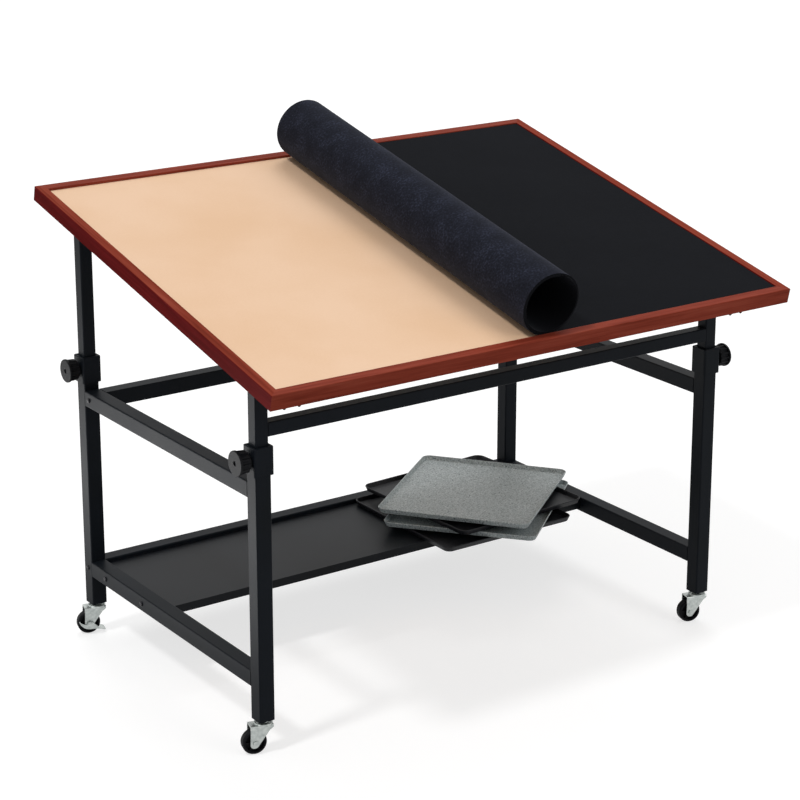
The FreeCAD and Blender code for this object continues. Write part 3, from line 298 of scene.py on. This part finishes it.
# Sorting trays: vacuum-formed from two sheets, one black, one grey with dark and light
# chips rolled into it like granite.
for sheet_name, ground, chip, spark, trays in (
        ("grey", "#b1babb", "#566063", "#dfe5e4", ("tray_top", "tray_lower")),
        ("black", "#121317", "#090a0c", "#2e3036", ("tray_upper", "tray_bottom"))):
    formed, shader, place = finish_named(f"formed_{sheet_name}_chip_sheet")
    # Chips are 1 to 2 mm, drawn here at 3 mm so that they show.
    chips = add(formed, "ShaderNodeTexNoise",
                {"Scale": 330.0, "Detail": 4.0, "Roughness": 0.7}, {"Vector": place})
    tone = add(formed, "ShaderNodeValToRGB",
               {"stops": [(0.36, chip), (0.46, ground), (0.56, ground), (0.66, spark)]},
               {"Fac": chips.outputs["Fac"]})
    bumps = add(formed, "ShaderNodeBump", {"Strength": 0.12, "Distance": 0.0004},
                {"Height": chips.outputs["Fac"]})
    formed.node_tree.links.new(shader.inputs["Base Color"], tone.outputs["Color"])
    formed.node_tree.links.new(shader.inputs["Normal"], bumps.outputs["Normal"])
    shader.inputs["Roughness"].default_value = 0.5
    shader.inputs["Specular IOR Level"].default_value = 0.25
    wear(formed, *trays)


# Felt cover: one needle-punched sheet of black polyester felt, 3 mm thick, laid on the right
# of the board and rolled up from its left edge, one and a half turns, to uncover the rest.
THICKNESS = 0.003
BOARD_TOP = 0.043                    # above the pivot, square to the board
SHEET_RIGHT, SHEET_NEAR, SHEET_FAR = 0.5365, -0.124, 0.679
ROLL_AXIS, ROLL_RADIUS, TURNS = 0.005, 0.060, 1.53
INWARD = 0.0034                      # each turn lies this much inside the one before
SPRING = 0.0010                      # how far the turns stand off a true spiral
WAVE = 0.0004                        # the laid part isn't ironed flat
CLEAR_OF_BOARD = 0.0002
LAID_STEPS, ROLL_STEPS, ROWS = 30, 150, 96

# The middle of the sheet's thickness, from its right edge leftwards and round the roll.
flat_height = BOARD_TOP + THICKNESS / 2 + CLEAR_OF_BOARD
outer_radius = ROLL_RADIUS - THICKNESS / 2
section = [(ROLL_AXIS + (SHEET_RIGHT - ROLL_AXIS) * (1 - i / LAID_STEPS), flat_height)
           for i in range(LAID_STEPS)]
for i in range(ROLL_STEPS + 1):
    turn = TURNS * 2 * math.pi * i / ROLL_STEPS
    radius = outer_radius - INWARD * turn / (2 * math.pi)
    radius -= SPRING * math.sin(2 * turn + 0.6) * min(1.0, turn / 2)
    section.append((ROLL_AXIS - radius * math.sin(turn),
                    flat_height + outer_radius - radius * math.cos(turn)))

width = len(section)
points = []
for j in range(ROWS + 1):
    depth = SHEET_NEAR + (SHEET_FAR - SHEET_NEAR) * j / ROWS
    for k, (across, height) in enumerate(section):
        if k < LAID_STEPS:
            ripple = math.sin(across * 21 + depth * 9) * math.sin(depth * 17 - across * 6)
            height += WAVE * (1 + ripple)
        points.append((across,
                       PIVOT_Y + depth * math.cos(TILT) - height * math.sin(TILT),
                       PIVOT_Z + depth * math.sin(TILT) + height * math.cos(TILT)))
faces = []
for j in range(ROWS):
    for k in range(width - 1):
        first = j * width + k
        faces.append((first, first + 1, first + width + 1, first + width))
shape = bpy.data.meshes.new("felt_cover")
shape.from_pydata(points, [], faces)
felt_cover = bpy.data.objects.new("felt_cover", shape)
bpy.context.scene.collection.objects.link(felt_cover)

# The felt's own width and length, so that the nap and the mottling roll up with it.
cloth = shape.uv_layers.new(name="cloth")
lengths = [0.0]
for (u0, h0), (u1, h1) in zip(section, section[1:]):
    lengths.append(lengths[-1] + math.hypot(u1 - u0, h1 - h0))
for loop in shape.loops:
    j, k = divmod(loop.vertex_index, width)
    cloth.data[loop.index].uv = (lengths[k], (SHEET_FAR - SHEET_NEAR) * j / ROWS)

bpy.ops.object.select_all(action="DESELECT")
bpy.context.view_layer.objects.active = felt_cover
felt_cover.select_set(True)
thick = felt_cover.modifiers.new("thickness", "SOLIDIFY")
thick.thickness, thick.offset = THICKNESS, 0.0
bpy.ops.object.modifier_apply(modifier="thickness")
# Rolled up, the cover shows its underside, which is given a lighter felt colour as painted
# light on the roll. Solidify lists the faces of that side first.
underside = shape.attributes.new("underside", "FLOAT", "FACE")
for number in range(len(faces)):
    underside.data[number].value = 1.0
bpy.ops.object.shade_smooth_by_angle(angle=math.radians(40))

felt, shader, _ = finish_named("needled_black_felt")
weave = add(felt, "ShaderNodeUVMap", {"uv_map": "cloth"})
# Fibres are 20 to 40 microns in tufts of 1 mm, drawn here at 4 mm so that they show. The web
# is thinner and thicker over about 33 mm.
nap = add(felt, "ShaderNodeTexNoise", {"Scale": 250.0, "Detail": 5.0, "Roughness": 0.65},
          {"Vector": weave.outputs["UV"]})
cloud = add(felt, "ShaderNodeTexNoise", {"Scale": 30.0, "Detail": 4.0},
            {"Vector": weave.outputs["UV"]})
thin = add(felt, "ShaderNodeMath", {"operation": "MULTIPLY_ADD", 1: 0.2, 2: 0.40},
           {0: cloud.outputs["Fac"]})
both = add(felt, "ShaderNodeMath", {"operation": "MULTIPLY_ADD", 1: 0.5},
           {0: nap.outputs["Fac"], 2: thin.outputs["Value"]})
smooth = add(felt, "ShaderNodeValToRGB",
             {"stops": [(0.5, "#0a0b0d"), (0.8, "#0f1013"), (1.0, "#1b1c21")]},
             {"Fac": both.outputs["Value"]})
# The underside's colours are lighter, as painted light on the rolled-up part.
underside_painted_light = add(felt, "ShaderNodeValToRGB",
             {"stops": [(0.62, "#13141a"), (0.76, "#20222b"), (0.9, "#3b3f50")]},
             {"Fac": both.outputs["Value"]})
painted_light_side = add(felt, "ShaderNodeAttribute", {"attribute_name": "underside"})
tone = add(felt, "ShaderNodeMix", {"data_type": "RGBA"},
           {0: painted_light_side.outputs["Fac"], 6: smooth.outputs["Color"], 7: underside_painted_light.outputs["Color"]})
bumps = add(felt, "ShaderNodeBump", {"Strength": 0.35, "Distance": 0.0006},
            {"Height": nap.outputs["Fac"]})
felt.node_tree.links.new(shader.inputs["Base Color"], tone.outputs[2])
felt.node_tree.links.new(shader.inputs["Normal"], bumps.outputs["Normal"])
shader.inputs["Roughness"].default_value = 0.95
shader.inputs["Specular IOR Level"].default_value = 0.05
shader.inputs["Sheen Weight"].default_value = 0.12
shader.inputs["Sheen Roughness"].default_value = 0.4
shader.inputs["Sheen Tint"].default_value = linear("#b4b8c6")
felt_cover.data.materials.append(felt)
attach(felt_cover, "tabletop")
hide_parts("felt_mat")


# Floor: a plain white sweep. Seen directly or in a reflection it is white, and it keeps the
# object's shadow.
bpy.ops.object.select_all(action="DESELECT")
bpy.ops.mesh.primitive_plane_add(size=30.0, location=(0, 0, 0))
floor = bpy.context.active_object
floor.name = "floor"
paper, shader, _ = finish_named("white_floor_paper")
shader.inputs["Base Color"].default_value = linear("#b2b2b2")
shader.inputs["Roughness"].default_value = 0.9
shader.inputs["Specular IOR Level"].default_value = 0.0
seen = add(paper, "ShaderNodeLightPath")
either = add(paper, "ShaderNodeMath", {"operation": "MAXIMUM"},
             {0: seen.outputs["Is Camera Ray"], 1: seen.outputs["Is Glossy Ray"]})
any_of = add(paper, "ShaderNodeMath", {"operation": "MAXIMUM"},
             {0: either.outputs["Value"], 1: seen.outputs["Is Transmission Ray"]})
lift = add(paper, "ShaderNodeMath", {"operation": "MULTIPLY", 1: 0.68},
           {0: any_of.outputs["Value"]})
glow = add(paper, "ShaderNodeEmission", {}, {"Strength": lift.outputs["Value"]})
lit = add(paper, "ShaderNodeAddShader", {},
          {0: shader.outputs["BSDF"], 1: glow.outputs["Emission"]})
paper.node_tree.links.new(paper.node_tree.nodes["Material Output"].inputs["Surface"],
                          lit.outputs["Shader"])
floor.data.materials.append(paper)


# Studio: a key light from high on the left, a broad one from high on the right and slightly
# behind, a weak soft box in front, a bright panel on the floor at the left behind the table,
# seen only in gloss, and an even white room.
world = bpy.data.worlds.new("studio")
bpy.context.scene.world = world
world.use_nodes = True
surroundings = world.node_tree.nodes["Background"]
surroundings.inputs["Color"].default_value = (1, 1, 1, 1)
seen = add(world, "ShaderNodeLightPath")
either = add(world, "ShaderNodeMath", {"operation": "MAXIMUM"},
             {0: seen.outputs["Is Camera Ray"], 1: seen.outputs["Is Glossy Ray"]})
any_of = add(world, "ShaderNodeMath", {"operation": "MAXIMUM"},
             {0: either.outputs["Value"], 1: seen.outputs["Is Transmission Ray"]})
level = add(world, "ShaderNodeMapRange", {"To Min": 0.42, "To Max": 1.0},
            {"Value": any_of.outputs["Value"]})
world.node_tree.links.new(surroundings.inputs["Strength"], level.outputs["Result"])

bpy.ops.object.light_add(type="SUN", rotation=(0, math.radians(-30), math.radians(8)))
key = bpy.context.active_object
key.name = "key_light"
key.data.energy, key.data.angle = 1.1, math.radians(7)

bpy.ops.object.light_add(type="SUN", rotation=(0, math.radians(28), math.radians(53)))
back = bpy.context.active_object
back.name = "back_light"
back.data.energy, back.data.angle = 0.8, math.radians(30)

bpy.ops.object.light_add(type="AREA", location=(1.2, -3.2, 2.0),
                         rotation=(math.radians(65), 0, math.radians(20.6)))
front = bpy.context.active_object
front.name = "soft_box_front"
front.data.shape, front.data.size, front.data.energy = "SQUARE", 1.6, 18.0

bpy.ops.object.light_add(type="AREA", location=(-1.15, 0.8, 0.012), rotation=(math.pi, 0, 0))
reflector = bpy.context.active_object
reflector.name = "reflector_left"
reflector.data.shape = "RECTANGLE"
reflector.data.size, reflector.data.size_y, reflector.data.energy = 0.8, 1.6, 24.0
reflector.visible_diffuse = False


# Camera: a long lens from the near left, above the board, looking 16 degrees down. The small
# shift sets the table in the middle of the frame.
bpy.ops.object.camera_add(location=(-2.33651, -3.34393, 1.81547),
                          rotation=(math.radians(90 - 15.853), 0, math.radians(-34.617)))
camera = bpy.context.active_object
camera.data.sensor_width = 36.0
camera.data.lens = 103.404
camera.data.shift_y = -0.12
camera.data.clip_end = 60.0
bpy.context.scene.camera = camera
bpy.context.scene.view_settings.view_transform = "Standard"
